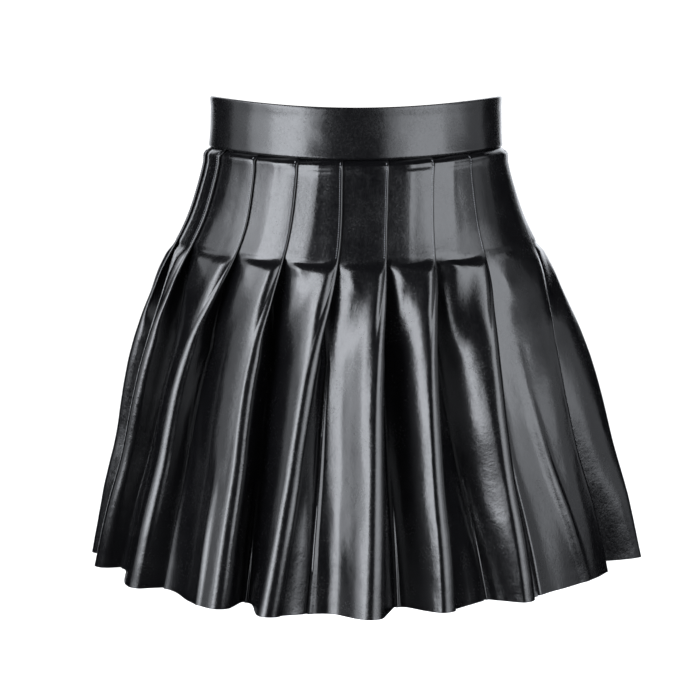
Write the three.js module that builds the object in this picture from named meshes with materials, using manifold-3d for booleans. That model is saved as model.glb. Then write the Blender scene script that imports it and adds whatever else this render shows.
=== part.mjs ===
// Pleated mini skirt in black faux leather, filled out as if worn and open at waist and hem.
// Millimetres, +Z up, the front faces -Y. The origin is the middle of the waistband, half way up it.
// Angles are degrees round the waist's ellipse: 0 at the front, 90 at +X, 180 at the back.

import * as THREE from 'three';
import { mergeVertices } from 'three/addons/utils/BufferGeometryUtils.js';
import Module from 'manifold-3d';

const wasm = await Module();
wasm.setup();

// Seams: the clear gap between two pieces, and where the side seams lie, just behind the sides.
const GAP = 0.3;
const SIDE_SEAM = 102;

// Waistband: two plies of faux leather over interfacing, a little wider at its rolled lower edge.
const BAND_HEIGHT = 40;
const BAND_THICKNESS = 2.4;
const BAND_HALF_WIDTH = 116.5;
const BAND_HALF_DEPTH = 88.5;
const BAND_SPREAD = 1;
const BAND_CORNER = 0.8;
const BAND_STEPS = 26;

// The waist line is a saddle: level at the sides, lower at the middle of the front and back.
const FRONT_DIP = 10;
const BACK_DIP = 13;

// Skirt: cloth wall, spacing of folded layers, how far each pleat folds under where it is stitched,
// and the height by which it has sprung open, with the share of its depth that it starts from.
const WALL = 1.2;
const LAYER = 1.55;
const UNDERLAP = 16;
const SURFACING = 5;
const STITCHED = 75;
const LENGTH = 336;
const SPRUNG = 150;
const DEPTH_AT_FOOT = 0.95;
const VALLEY_RADIUS = 3;

// Guide points of an open pleat's face, as shares of the way across it and up it. Where the pleats are let go
// it swells up from the last valley; at the hem it runs over a nearly flat floor and then climbs to the crest.
// The crest is round, and its radius grows down to the hem.
const FACE_AT_FOOT = [[0.09, 0.19], [0.22, 0.38], [0.38, 0.57], [0.58, 0.75], [0.8, 0.9]];
const FACE_AT_HEM = [[0.14, 0.02], [0.32, 0.1], [0.5, 0.32], [0.68, 0.6], [0.86, 0.86]];
const CREST_AT_FOOT = 5;
const CREST_AT_HEM = 11;
const SWELL_WIDTH = 0.3;

// Guide points round the crest and beside a valley, in radii: how far across, and how far down or up.
const FACE_END = { across: 0.35, down: 0.06, shareOfFace: 0.15 };
const CREST_GUIDES = [[0.15, 0.01], [0.72, 0.3], [0.98, 0.85]];
const VALLEY_START = [0.7, 0.6];
const VALLEY_END = [-0.7, 1];

// Powers by which the pleats spring open fast at first, and then go on growing to the hem.
const OPENING_EASE = 0.65;
const GROWING_EASE = 0.7;

// The wall's faces go no further out at a sharp turn than its half thickness divided by this.
const MITRE_LIMIT = 0.62;

// The filled-out form leans a little to +X below the hip.
const LEAN = 2.6;
const LEAN_FROM = 90;
const LEAN_TO = 250;

// How much narrower than wide the form is, in half measures, at the waist seam and at the hem.
const FLATTER_AT_WAIST = 28;
const FLATTER_AT_HEM = 36;

// Half width of the outer folds, by the distance below the waist seam.
const OUTLINE = [
  { below: 0, halfWidth: 119 },
  { below: 5, halfWidth: 122.5 },
  { below: 12, halfWidth: 123.5 },
  { below: 33, halfWidth: 129 },
  { below: 54, halfWidth: 136 },
  { below: 75, halfWidth: 146 },
  { below: 86, halfWidth: 152.5 },
  { below: 98, halfWidth: 159 },
  { below: 114, halfWidth: 166 },
  { below: 135, halfWidth: 175.5 },
  { below: 165, halfWidth: 186 },
  { below: 200, halfWidth: 195 },
  { below: 240, halfWidth: 203.5 },
  { below: 285, halfWidth: 215.5 },
  { below: LENGTH, halfWidth: 226.5 },
];

// Heights below the seam at which a pleat's edge is placed by the table of pleats.
const STATIONS = [0, STITCHED, 150, LENGTH];

// Knife pleats, from the left of the front round to the back. Columns:
// seam, foot, mid, hem: angle of the fold's edge at the four stations;
// reach: how far the edge stands out from the outline at the hem;
// after, depth: angle from the edge to the valley that follows it, and that valley's depth, at the hem;
// swell, at: height of a soft extra fold on the pleat's face at the hem, and where on the face.
const PLEATS = [
  { seam: -83, foot: -84, mid: -90, hem: -98, reach: -2, after: 8, depth: 34, swell: 0, at: 0.5 },
  { seam: -62, foot: -63, mid: -69, hem: -79, reach: -9, after: 9, depth: 30, swell: 0, at: 0.5 },
  { seam: -40.5, foot: -39.5, mid: -48.5, hem: -55, reach: -9, after: 12, depth: 27, swell: 0, at: 0.5 },
  { seam: -22, foot: -22.5, mid: -27, hem: -30, reach: -4, after: 3, depth: 37, swell: 2, at: 0.5 },
  { seam: -5, foot: -5.5, mid: -11.3, hem: -18, reach: 2, after: 7.5, depth: 24, swell: 0, at: 0.5 },
  { seam: 12, foot: 9, mid: 4.7, hem: 2, reach: -2, after: 6, depth: 44, swell: 1, at: 0.4 },
  { seam: 30, foot: 24.5, mid: 18.8, hem: 17.7, reach: -14, after: 12, depth: 40, swell: 0, at: 0.5 },
  { seam: 48, foot: 43, mid: 36.5, hem: 36.7, reach: -12, after: 11, depth: 40, swell: 2, at: 0.5 },
  { seam: 82, foot: 75, mid: 63, hem: 71, reach: -17, after: 9, depth: 38, swell: 4, at: 0.45 },
  { seam: 101.5, foot: 97, mid: 92, hem: 97, reach: 6, after: 6, depth: 34, swell: 0, at: 0.5 },
  { seam: 121, foot: 117, mid: 112, hem: 113, reach: -4, after: 5, depth: 36, swell: 0, at: 0.5 },
  { seam: 140.5, foot: 136, mid: 131, hem: 130, reach: -10, after: 8, depth: 41, swell: 3, at: 0.4 },
  { seam: 160, foot: 156, mid: 150, hem: 148, reach: -3, after: 5, depth: 36, swell: 0, at: 0.5 },
  { seam: 179.5, foot: 175, mid: 169, hem: 168, reach: -8, after: 8, depth: 44, swell: 0, at: 0.5 },
  { seam: 199, foot: 194.5, mid: 189, hem: 186, reach: 1, after: 5, depth: 38, swell: 4, at: 0.35 },
  { seam: 218.5, foot: 214.5, mid: 208, hem: 206, reach: -6, after: 7, depth: 42, swell: 0, at: 0.5 },
  { seam: 238, foot: 234, mid: 228, hem: 225, reach: -10, after: 6, depth: 38, swell: 0, at: 0.5 },
  { seam: 257.5, foot: 254, mid: 248, hem: 243, reach: -4, after: 6, depth: 38, swell: 3, at: 0.4 },
];
const FRONT_PLEATS = 10;

// Concealed zip in the seam at +X: tapes, slider and pull tab.
const TAPE_WIDTH = 8;
const TAPE_THICKNESS = 1;
const TAPE_PARTING = 0.7;
const TAPE_BEHIND_PLEATS = 1.5;
const SLIDER_UP = 12;
const CROWN_WIDTH = 2;
const NECK_WIDTH = 0.8;
const NECK_HEIGHT = 5;
const NOTCH_DEPTH = 12;
const PULL_LENGTH = 25;
const PULL_THICKNESS = 1;
const PULL_BAR_OUT = 1.9;
const PULL_BAR_UP = -1.2;

const leather = (color, roughness) => new THREE.MeshStandardMaterial({ color, roughness, metalness: 0 });
const MATERIALS = {
  skirt: leather('#17171a', 0.34),
  band: leather('#1b1b1f', 0.32),
  tape: leather('#101012', 0.9),
  metal: new THREE.MeshStandardMaterial({ color: '#2a2b2e', roughness: 0.35, metalness: 0.8 }),
};

const radians = THREE.MathUtils.degToRad;
const lerp = THREE.MathUtils.lerp;

// A smooth curve through knots that are sorted along their first column.
function through(xs, ys, x) {
  const last = xs.length - 1;
  if (x <= xs[0]) return ys[0];
  if (x >= xs[last]) return ys[last];
  let i = 0;
  while (x > xs[i + 1]) i += 1;
  const rise = (j) => (ys[j + 1] - ys[j]) / (xs[j + 1] - xs[j]);
  const slope = (j) => {
    if (j === 0) return rise(0);
    if (j === last) return rise(last - 1);
    return (rise(j - 1) + rise(j)) / 2;
  };
  const span = xs[i + 1] - xs[i];
  const t = (x - xs[i]) / span;
  const s = 1 - t;
  const ends = ys[i] * s * s * (1 + 2 * t) + ys[i + 1] * t * t * (1 + 2 * s);
  return ends + span * t * s * (slope(i) * s - slope(i + 1) * t);
}

const OUTLINE_BELOW = OUTLINE.map((row) => row.below);
const OUTLINE_WIDTH = OUTLINE.map((row) => row.halfWidth);

function halves(below) {
  const width = through(OUTLINE_BELOW, OUTLINE_WIDTH, below);
  return { width, depth: width - lerp(FLATTER_AT_WAIST, FLATTER_AT_HEM, below / LENGTH) };
}

// A point of an ellipse of the given half measures, moved out along its normal.
function around(half, angle, out) {
  const sine = Math.sin(radians(angle));
  const cosine = Math.cos(radians(angle));
  const normal = new THREE.Vector2(sine / half.width, -cosine / half.depth).normalize();
  return new THREE.Vector2(half.width * sine, -half.depth * cosine).addScaledVector(normal, out);
}

// Degrees that a length along the ellipse takes up at an angle.
function degreesFor(half, angle, length) {
  const speed = Math.hypot(half.width * Math.cos(radians(angle)), half.depth * Math.sin(radians(angle)));
  return THREE.MathUtils.radToDeg(length / speed);
}

function dip(angle) {
  const cosine = Math.cos(radians(angle));
  return (cosine > 0 ? FRONT_DIP : BACK_DIP) * cosine * cosine;
}

function lean(below) {
  return LEAN * THREE.MathUtils.smoothstep(below, LEAN_FROM, LEAN_TO);
}

// How the pleats are at a height. open: 0 where they are stitched down, 1 where they have sprung open.
// grown: share of the reach, swell and valley angle they have at the hem. deep: share of the depth.
// crestRadius: radius of the folded edges. share: how far down from the stitches' foot to the hem.
function stateAt(below) {
  const share = Math.max(0, (below - STITCHED) / (LENGTH - STITCHED));
  const sprung = Math.min(1, Math.max(0, (below - STITCHED) / (SPRUNG - STITCHED)));
  return {
    share,
    open: Math.pow(sprung, OPENING_EASE),
    grown: Math.pow(share, GROWING_EASE),
    deep: lerp(DEPTH_AT_FOOT, 1, share),
    crestRadius: lerp(CREST_AT_FOOT, CREST_AT_HEM, share),
  };
}

// One pleat's edge and the valley after it at a height, as angles and distances out from the outline.
function foldAt(index, below) {
  const count = PLEATS.length;
  const turn = Math.floor(index / count);
  const row = PLEATS[index - turn * count];
  const { open, grown, deep } = stateAt(below);
  const edge = through(STATIONS, [row.seam, row.foot, row.mid, row.hem], below) + 360 * turn;
  return {
    edge,
    out: row.reach * grown - WALL / 2,
    valley: edge + row.after * grown,
    valleyOut: -row.depth * deep - WALL / 2,
    swell: row.swell * grown,
    at: row.at,
  };
}

// A stitched pleat: under the last fold, up to the surface, across the face, and back under itself.
function foldedPleat(half, last, fold) {
  const before = (length) => last.edge - degreesFor(half, last.edge, length);
  const back = (length) => fold.edge - degreesFor(half, fold.edge, length);
  const turn = LAYER / 2;
  const top = -WALL / 2;
  const middle = top - LAYER;
  const deep = top - 2 * LAYER;
  return [
    [before(UNDERLAP - turn), deep],
    [before(UNDERLAP / 2), deep],
    [before(0), deep],
    [before(-SURFACING), top],
    [back(UNDERLAP - turn), top],
    [back(UNDERLAP / 2), top],
    [back(turn), top],
    [back(0), top - turn],
    [back(turn), middle],
    [back(UNDERLAP / 2), middle],
    [back(UNDERLAP - turn), middle],
    [back(UNDERLAP), middle - turn],
  ];
}

// An open pleat: a face that rises from the last valley, a round crest, and a steep back.
function openPleat(half, last, fold, { share, crestRadius }) {
  const crestTurn = degreesFor(half, fold.edge, crestRadius);
  const crest = (across, down) => [fold.edge + across * crestTurn, fold.out - down * crestRadius];
  const valley = (place, across, up) => [
    place.valley + degreesFor(half, place.valley, across * VALLEY_RADIUS),
    place.valleyOut + up * VALLEY_RADIUS,
  ];
  const lead = Math.min(FACE_END.across, (FACE_END.shareOfFace * (fold.edge - last.valley)) / crestTurn);
  const faceEnd = crest(-lead, FACE_END.down);
  const onFace = (atFoot, i) => {
    const across = lerp(atFoot[0], FACE_AT_HEM[i][0], share);
    const up = lerp(atFoot[1], FACE_AT_HEM[i][1], share);
    const fromSwell = (across - fold.at) / SWELL_WIDTH;
    return [
      lerp(last.valley, faceEnd[0], across),
      lerp(last.valleyOut, faceEnd[1], up) + fold.swell * Math.exp(-fromSwell * fromSwell),
    ];
  };
  return [
    valley(last, ...VALLEY_START),
    ...FACE_AT_FOOT.map(onFace),
    faceEnd,
    ...CREST_GUIDES.map(([across, down]) => crest(across, down)),
    valley(fold, ...VALLEY_END),
    valley(fold, 0, 0),
  ];
}

// The middle line of the cloth all round at a height, in plan, with the angle of each point.
function clothLine(below) {
  const half = halves(below);
  const state = stateAt(below);
  const { open } = state;
  return PLEATS.flatMap((row, index) => {
    const last = foldAt(index - 1, below);
    const fold = foldAt(index, below);
    const folded = foldedPleat(half, last, fold);
    const opened = openPleat(half, last, fold, state);
    return folded.map(([foldedAngle, foldedOut], i) => {
      const angle = lerp(foldedAngle, opened[i][0], open);
      const place = around(half, angle, lerp(foldedOut, opened[i][1], open));
      return { angle, place: new THREE.Vector2(place.x + lean(below), place.y) };
    });
  });
}

// Both faces of the wall over a run of pleats. The run starts and ends in the valleys before and after
// it, and its two ends are pulled back by half a seam gap.
function wallFaces(line, first, count) {
  const step = line.length / PLEATS.length;
  const at = (i) => line[(i + line.length) % line.length];
  const along = (i) => at(i + 1).place.clone().sub(at(i).place).normalize();
  const start = first * step - 1;
  const end = start + count * step;
  const outer = [];
  const inner = [];
  for (let i = start; i <= end; i += 1) {
    const after = along(i);
    const bisector = along(i - 1).add(after).normalize();
    const reach = WALL / 2 / Math.max(bisector.dot(after), MITRE_LIMIT);
    const normal = new THREE.Vector2(bisector.y, -bisector.x).multiplyScalar(reach);
    const middle = at(i).place.clone();
    if (i === start) middle.addScaledVector(bisector, GAP / 2);
    if (i === end) middle.addScaledVector(bisector, -GAP / 2);
    outer.push({ angle: at(i).angle, place: middle.clone().add(normal) });
    inner.push({ angle: at(i).angle, place: middle.clone().sub(normal) });
  }
  return { outer, inner };
}

// A closed body from equal rings of points: side walls between rings, and a cap on the first and last.
// The second half of each ring runs back along the wall's inner face, and its quads are split the other way,
// so that both faces have the same creases and the wall keeps its thickness.
function loft(rings) {
  const count = rings[0].length;
  const positions = rings.flat().flatMap((point) => [point.x, point.y, point.z]);
  const indices = [];
  const quad = (a, b, c, d) => indices.push(a, b, c, a, c, d);
  for (let r = 0; r < rings.length - 1; r += 1) {
    for (let i = 0; i < count; i += 1) {
      const next = (i + 1) % count;
      const corners = [r * count + i, r * count + next, (r + 1) * count + next, (r + 1) * count + i];
      if (i < count / 2) quad(...corners);
      else quad(...corners.slice(1), corners[0]);
    }
  }
  const end = (rings.length - 1) * count;
  for (let i = 0; i < count / 2 - 1; i += 1) {
    quad(count - 1 - i, count - 2 - i, i + 1, i);
    quad(end + i, end + i + 1, end + count - 2 - i, end + count - 1 - i);
  }
  const geometry = new THREE.BufferGeometry();
  geometry.setAttribute('position', new THREE.Float32BufferAttribute(positions, 3));
  geometry.setIndex(indices);
  geometry.computeVertexNormals();
  return geometry;
}

// A pleated panel: one ring of both wall faces at each height of the outline, from the hem up.
function skirtPanel(first, count) {
  const top = -BAND_HEIGHT / 2 - GAP;
  const rings = [...OUTLINE].reverse().map(({ below }) => {
    const { outer, inner } = wallFaces(clothLine(below), first, count);
    const point = ({ angle, place }) => new THREE.Vector3(place.x, place.y, top - below - dip(angle));
    return [...outer.map(point), ...inner.reverse().map(point)];
  });
  return loft(rings);
}

// The waistband's section as distances out from its outer face and heights from its middle.
function bandSection() {
  const edge = BAND_HEIGHT / 2;
  const inside = -BAND_THICKNESS;
  return [
    [0, -edge + BAND_CORNER],
    [0.25, -edge + 3],
    [0, 0],
    [0, edge - BAND_CORNER],
    [-BAND_CORNER, edge],
    [inside + BAND_CORNER, edge],
    [inside, edge - BAND_CORNER],
    [inside, 0],
    [inside, -edge + BAND_CORNER],
    [inside + BAND_CORNER, -edge],
    [-BAND_CORNER, -edge],
  ];
}

function bandHalves(up) {
  const spread = BAND_SPREAD * (0.5 - up / BAND_HEIGHT);
  return { width: BAND_HALF_WIDTH + spread, depth: BAND_HALF_DEPTH + spread };
}

function bandPoint(angle, out, up) {
  const place = around(bandHalves(up), angle, out);
  return new THREE.Vector3(place.x, place.y, up - dip(angle));
}

// A curved strip with a convex section, from one angle to another.
function strip(sectionPoint, from, to, steps, corners) {
  const positions = [];
  const indices = [];
  for (let i = 0; i <= steps; i += 1) {
    for (let c = 0; c < corners; c += 1) positions.push(...sectionPoint(lerp(from, to, i / steps), c).toArray());
  }
  for (let i = 0; i < steps; i += 1) {
    for (let c = 0; c < corners; c += 1) {
      const next = (c + 1) % corners;
      const [a, b] = [i * corners + c, i * corners + next];
      indices.push(a, a + corners, b + corners, a, b + corners, b);
    }
  }
  for (let c = 1; c < corners - 1; c += 1) {
    indices.push(0, c, c + 1);
    indices.push(steps * corners, steps * corners + c + 1, steps * corners + c);
  }
  const geometry = new THREE.BufferGeometry();
  geometry.setAttribute('position', new THREE.Float32BufferAttribute(positions, 3));
  geometry.setIndex(indices);
  geometry.computeVertexNormals();
  return geometry;
}

function bandPiece(from, to) {
  const section = bandSection();
  const inset = degreesFor(bandHalves(0), SIDE_SEAM, GAP / 2);
  const point = (angle, corner) => bandPoint(angle, section[corner][0], section[corner][1]);
  return strip(point, from + inset, to - inset, BAND_STEPS, section.length);
}

// Solids for cutting and joining.
function toSolid(geometry) {
  const bare = geometry.clone();
  bare.deleteAttribute('normal');
  bare.deleteAttribute('uv');
  const merged = mergeVertices(bare);
  const vertProperties = new Float32Array(merged.attributes.position.array);
  const triVerts = new Uint32Array(merged.index.array);
  return new wasm.Manifold(new wasm.Mesh({ numProp: 3, vertProperties, triVerts }));
}

function toGeometry(solid) {
  const mesh = solid.getMesh();
  const geometry = new THREE.BufferGeometry();
  geometry.setAttribute('position', new THREE.Float32BufferAttribute(mesh.vertProperties, 3));
  geometry.setIndex(Array.from(mesh.triVerts));
  geometry.computeVertexNormals();
  return geometry;
}

// An outline drawn across and up the seam, made solid from one depth to another behind the band's face.
function facing(shape, from, to) {
  const geometry = new THREE.ExtrudeGeometry(shape, { depth: to - from, bevelEnabled: false, curveSegments: 5 });
  const across = new THREE.Vector3(1, 0, 0);
  const up = new THREE.Vector3(0, 0, 1);
  const outward = new THREE.Vector3(0, -1, 0);
  geometry.applyMatrix4(new THREE.Matrix4().makeBasis(across, up, outward));
  return geometry.translate(0, to, 0);
}

// The slider's frame: on the band's outer face at the side seam, turned so that -Y points outward.
function seamPlace(angle, up) {
  const half = bandHalves(up);
  const place = bandPoint(angle, 0, up);
  const outward = around(half, angle, 1).sub(around(half, angle, 0));
  return { place, turn: Math.atan2(outward.x, -outward.y) };
}

// The crown is an arch over the pull's bar, standing on a neck that runs through the seam to the body.
function sliderGeometry() {
  const inside = BAND_THICKNESS + GAP + TAPE_THICKNESS + GAP;
  const arch = new THREE.Shape();
  arch.moveTo(0.35, -3.6);
  arch.lineTo(2.9, -3.6);
  arch.lineTo(3.4, -3.1);
  arch.lineTo(3.4, 3.1);
  arch.lineTo(2.9, 3.6);
  arch.lineTo(0.35, 3.6);
  const window = new THREE.Path();
  window.moveTo(1.1, -2.4);
  window.lineTo(1.1, 2.4);
  window.lineTo(2.7, 2.4);
  window.lineTo(2.7, -2.4);
  arch.holes.push(window);
  const crown = new THREE.ExtrudeGeometry(arch, { depth: CROWN_WIDTH, bevelEnabled: false });
  const outward = new THREE.Vector3(0, -1, 0);
  const up = new THREE.Vector3(0, 0, 1);
  const across = new THREE.Vector3(-1, 0, 0);
  crown.applyMatrix4(new THREE.Matrix4().makeBasis(outward, up, across)).translate(CROWN_WIDTH / 2, 0, 0);
  const neck = new THREE.BoxGeometry(NECK_WIDTH, inside + 1.4, NECK_HEIGHT);
  neck.translate(0, (inside - 0.2) / 2, 0);
  const wedge = new THREE.Shape();
  wedge.moveTo(-2.2, -5);
  wedge.lineTo(2.2, -5);
  wedge.lineTo(3, 1.5);
  wedge.lineTo(2.6, 4);
  wedge.lineTo(-2.6, 4);
  wedge.lineTo(-3, 1.5);
  const body = facing(wedge, inside, inside + 1.6);
  return toGeometry(toSolid(crown).add(toSolid(neck)).add(toSolid(body)));
}

// A drop-shaped plate that hangs from a bar through the crown.
function pullGeometry() {
  const bar = PULL_THICKNESS / 2;
  const inner = CROWN_WIDTH / 2 + 0.4;
  const outer = inner + 1.2;
  const plate = new THREE.Shape();
  plate.moveTo(-outer + 0.6, bar);
  plate.lineTo(-outer, bar - 0.6);
  plate.lineTo(-outer, -5);
  plate.lineTo(-3.3, -PULL_LENGTH + 3.5);
  plate.absarc(0, -PULL_LENGTH + 3.3, 3.3, Math.PI, 2 * Math.PI, false);
  plate.lineTo(outer, -5);
  plate.lineTo(outer, bar - 0.6);
  plate.lineTo(outer - 0.6, bar);
  const window = new THREE.Path();
  window.moveTo(-inner, -bar);
  window.lineTo(inner, -bar);
  window.lineTo(inner, -4);
  window.lineTo(-inner, -4);
  plate.holes.push(window);
  return facing(plate, -PULL_THICKNESS / 2, PULL_THICKNESS / 2);
}

// A tape lies inside the seam, along the band and down behind the stitched pleats.
function tapeGeometry(side) {
  const lengths = [-BAND_HEIGHT + 1, -20, 0, 12, 33, 54, STITCHED];
  const behindBand = -BAND_THICKNESS - GAP;
  const behindPleats = -2 * LAYER - WALL - GAP;
  const rings = [...lengths].reverse().map((below) => {
    const onBand = below <= 0;
    const up = -BAND_HEIGHT / 2 - below;
    const half = onBand ? bandHalves(up) : halves(below);
    const behindSeam = behindBand - TAPE_BEHIND_PLEATS;
    const back = below === 0 ? behindSeam : onBand ? behindBand : behindPleats - TAPE_BEHIND_PLEATS;
    const edges = [TAPE_PARTING, TAPE_PARTING + TAPE_WIDTH / 2, TAPE_PARTING + TAPE_WIDTH];
    const angles = edges.map((length) => SIDE_SEAM + side * degreesFor(half, SIDE_SEAM, length));
    if (side < 0) angles.reverse();
    const point = (out) => (angle) => {
      const place = around(half, angle, out);
      return new THREE.Vector3(place.x, place.y, up - dip(angle));
    };
    return [...angles.map(point(back)), ...angles.reverse().map(point(back - TAPE_THICKNESS))];
  });
  return loft(rings);
}

const group = new THREE.Group();

function addPiece(name, geometry, material, parent = group) {
  const mesh = new THREE.Mesh(geometry, material);
  mesh.name = name;
  parent.add(mesh);
  return mesh;
}

// The slider's neck passes between the two band pieces, so both are cut back round it.
const seam = seamPlace(SIDE_SEAM, SLIDER_UP);
const notch = new THREE.BoxGeometry(NECK_WIDTH + 2 * GAP, NOTCH_DEPTH, NECK_HEIGHT + 2 * GAP);
notch.rotateZ(seam.turn).translate(seam.place.x, seam.place.y, seam.place.z);
const cut = toSolid(notch);
const frontBand = bandPiece(-SIDE_SEAM, SIDE_SEAM);
const backBand = bandPiece(SIDE_SEAM, 360 - SIDE_SEAM);
addPiece('waistband_front', toGeometry(toSolid(frontBand).subtract(cut)), MATERIALS.band);
addPiece('waistband_back', toGeometry(toSolid(backBand).subtract(cut)), MATERIALS.band);

addPiece('skirt_front', skirtPanel(0, FRONT_PLEATS), MATERIALS.skirt);
addPiece('skirt_back', skirtPanel(FRONT_PLEATS, PLEATS.length - FRONT_PLEATS), MATERIALS.skirt);

addPiece('zip_tape_front', tapeGeometry(-1), MATERIALS.tape);
addPiece('zip_tape_back', tapeGeometry(1), MATERIALS.tape);

const hardware = new THREE.Group();
hardware.position.copy(seam.place);
hardware.rotation.z = seam.turn;
group.add(hardware);
addPiece('zip_slider', sliderGeometry(), MATERIALS.metal, hardware);
const pull = addPiece('zip_pull', pullGeometry(), MATERIALS.metal, hardware);
pull.position.set(0, -PULL_BAR_OUT, PULL_BAR_UP);

export default group;
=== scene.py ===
"""Looks of a pleated mini skirt in black faux leather, filled out as if worn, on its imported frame.

Sizes are in millimetres and angles in degrees round the waist, 0 at the front and 90 at +X. Meshes are
turned to metres as they are made.
"""

import math

import bpy
import numpy as np
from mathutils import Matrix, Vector, noise

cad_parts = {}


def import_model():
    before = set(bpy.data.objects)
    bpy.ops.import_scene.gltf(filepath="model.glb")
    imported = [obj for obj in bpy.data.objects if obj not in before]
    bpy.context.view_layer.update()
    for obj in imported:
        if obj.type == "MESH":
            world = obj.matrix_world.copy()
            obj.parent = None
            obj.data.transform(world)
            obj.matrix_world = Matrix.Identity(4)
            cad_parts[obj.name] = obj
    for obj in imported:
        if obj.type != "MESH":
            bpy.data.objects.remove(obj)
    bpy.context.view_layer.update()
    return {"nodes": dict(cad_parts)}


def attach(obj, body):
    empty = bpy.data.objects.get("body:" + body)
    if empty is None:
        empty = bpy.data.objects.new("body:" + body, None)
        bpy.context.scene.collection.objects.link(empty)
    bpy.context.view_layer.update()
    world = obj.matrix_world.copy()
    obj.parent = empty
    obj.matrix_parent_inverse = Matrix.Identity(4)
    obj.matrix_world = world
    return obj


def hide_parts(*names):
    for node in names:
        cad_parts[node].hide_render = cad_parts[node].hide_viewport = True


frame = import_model()

MM = 0.001

# Seams and waistband, as in the solids.
GAP = 0.3
SIDE_SEAM = 102
BAND_HEIGHT = 40
BAND_THICKNESS = 2.4
BAND_HALF_WIDTH = 116.5
BAND_HALF_DEPTH = 88.5
BAND_SPREAD = 1
FRONT_DIP = 10
BACK_DIP = 13

# Pleated cloth. The solids' wall is 1.2 mm, in layers 1.55 mm apart. The shell has the real cloth's
# thickness on the same middle, so its folded layers lie closer.
WALL = 1.2
WALL_LAYER = 1.55
CLOTH = 0.8
LAYER = 1.15
UNDERLAP = 16

# Distances below the waist seam: end of the stitching, where the folds have sprung open, and the hem.
STITCHED = 75
SPRUNG = 150
LENGTH = 336

# A stitched panel rises slowly from under the last fold. At SURFACING past that fold it lies STILL_UNDER
# below its own folded edge. It is RISING below it where its own underlap starts, and NEARLY_UP half way
# over that.
SURFACING = 17
STILL_UNDER = 0.55
RISING = 0.495
NEARLY_UP = 0.15

# How fast the pleats open and their folds grow with the distance down: fast at first, being under 1.
OPENING_POWER = 0.65
GROWTH_POWER = 0.7

# Open folds: the valleys' depth at first as a share of the table's, and radii of the crests and valleys.
DEPTH_AT_FOOT = 0.95
CREST_AT_FOOT = 5
CREST_AT_HEM = 11
VALLEY_RADIUS = 3

# The skirt hangs a little to the viewer's right, between these distances below the seam.
LEAN = 2.6
LEAN_FROM = 90
LEAN_TO = 250

# How much less than its half width the form's half depth is.
FLATTER_AT_WAIST = 28
FLATTER_AT_HEM = 36

# Least length or angle to divide by.
TINY = 1e-9

# Half width of the outer folds, by the distance below the waist seam.
OUTLINE_BELOW = [0, 5, 12, 33, 54, 75, 86, 98, 114, 135, 165, 200, 240, 285, LENGTH]
OUTLINE_WIDTH = [119, 122.5, 123.5, 129, 136, 146, 152.5, 159, 166, 175.5, 186, 195, 203.5, 215.5, 226.5]

# Distances below the seam at which the table places a pleat's folded edge.
STATIONS = {"seam": 0, "foot": STITCHED, "mid": SPRUNG, "hem": LENGTH}

# Knife pleats from the left of the front round to the back. seam, foot, mid, hem: angle of the folded edge
# at the stations. reach: how far it stands out at the hem. after, depth: angle on to the valley behind it,
# and that valley's depth. swell, at: height of a soft fold on the face, and its share of the way across.
PLEAT_COLUMNS = ("seam", "foot", "mid", "hem", "reach", "after", "depth", "swell", "at")
PLEATS = [
    (-83, -84, -90, -98, -2, 8, 34, 0, 0.5),
    (-62, -63, -69, -79, -9, 4, 30, 0, 0.5),
    (-40.5, -39.5, -48.5, -55, -9, 5, 30, 0, 0.5),
    (-22, -22.5, -27, -30, -4, 3, 37, 2, 0.5),
    (-5, -5.5, -11.3, -18, 2, 7, 19, 0, 0.5),
    (12, 9, 4.7, 2, -2, 6, 44, -6.5, 0.52),
    (30, 24.5, 18.8, 17.7, -14, 12, 40, 0, 0.5),
    (48, 43, 36.5, 36.7, -12, 5, 24, 2, 0.5),
    (82, 75, 63, 71, -17, 6, 44, 0, 0.45),
    (101.5, 97, 92, 91, 6, 6, 34, 0, 0.5),
    (121, 117, 112, 113, -4, 5, 36, 0, 0.5),
    (140.5, 136, 131, 130, -10, 8, 41, 3, 0.4),
    (160, 156, 150, 148, -3, 5, 36, 0, 0.5),
    (179.5, 175, 169, 168, -8, 8, 44, 0, 0.5),
    (199, 194.5, 189, 186, 1, 5, 38, 4, 0.35),
    (218.5, 214.5, 208, 206, -6, 7, 42, 0, 0.5),
    (238, 234, 228, 225, -10, 6, 38, 0, 0.5),
    (257.5, 254, 248, 243, -4, 6, 38, 3, 0.4),
]
PLEAT = {name: np.array(column, float) for name, column in zip(PLEAT_COLUMNS, zip(*PLEATS))}
PLEAT_COUNT = len(PLEATS)
FRONT_PLEATS = 10

# How many stretches each span between a pleat's twelve guide points is divided into.
SPAN_STEPS = [4, 3, 3, 5, 5, 7, 4, 4, 3, 2, 2, 2]
PLEAT_STEPS = sum(SPAN_STEPS)
LAST_SPAN = SPAN_STEPS[-1]

# Rows of the shell, closer where the cloth leaves the waist seam and where the pleats are let go.
ROWS = np.concatenate(
    [
        np.linspace(0, 14, 11)[:-1],
        np.linspace(14, 64, 12)[:-1],
        np.linspace(64, 120, 31)[:-1],
        np.linspace(120, LENGTH, 46),
    ]
)


def through(xs, ys, x):
    """A smooth curve through knots, sorted along xs."""
    xs = np.asarray(xs, float)
    ys = np.asarray(ys, float)
    x = np.clip(x, xs[0], xs[-1])
    rise = np.diff(ys) / np.diff(xs)
    slope = np.concatenate([rise[:1], (rise[:-1] + rise[1:]) / 2, rise[-1:]])
    i = np.clip(np.searchsorted(xs, x, side="right") - 1, 0, len(xs) - 2)
    span = xs[i + 1] - xs[i]
    t = (x - xs[i]) / span
    s = 1 - t
    ends = ys[i] * s * s * (1 + 2 * t) + ys[i + 1] * t * t * (1 + 2 * s)
    return ends + span * t * s * (slope[i] * s - slope[i + 1] * t)


def mix(a, b, share):
    """The value this share of the way from a to b."""
    return a + (b - a) * share


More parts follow.
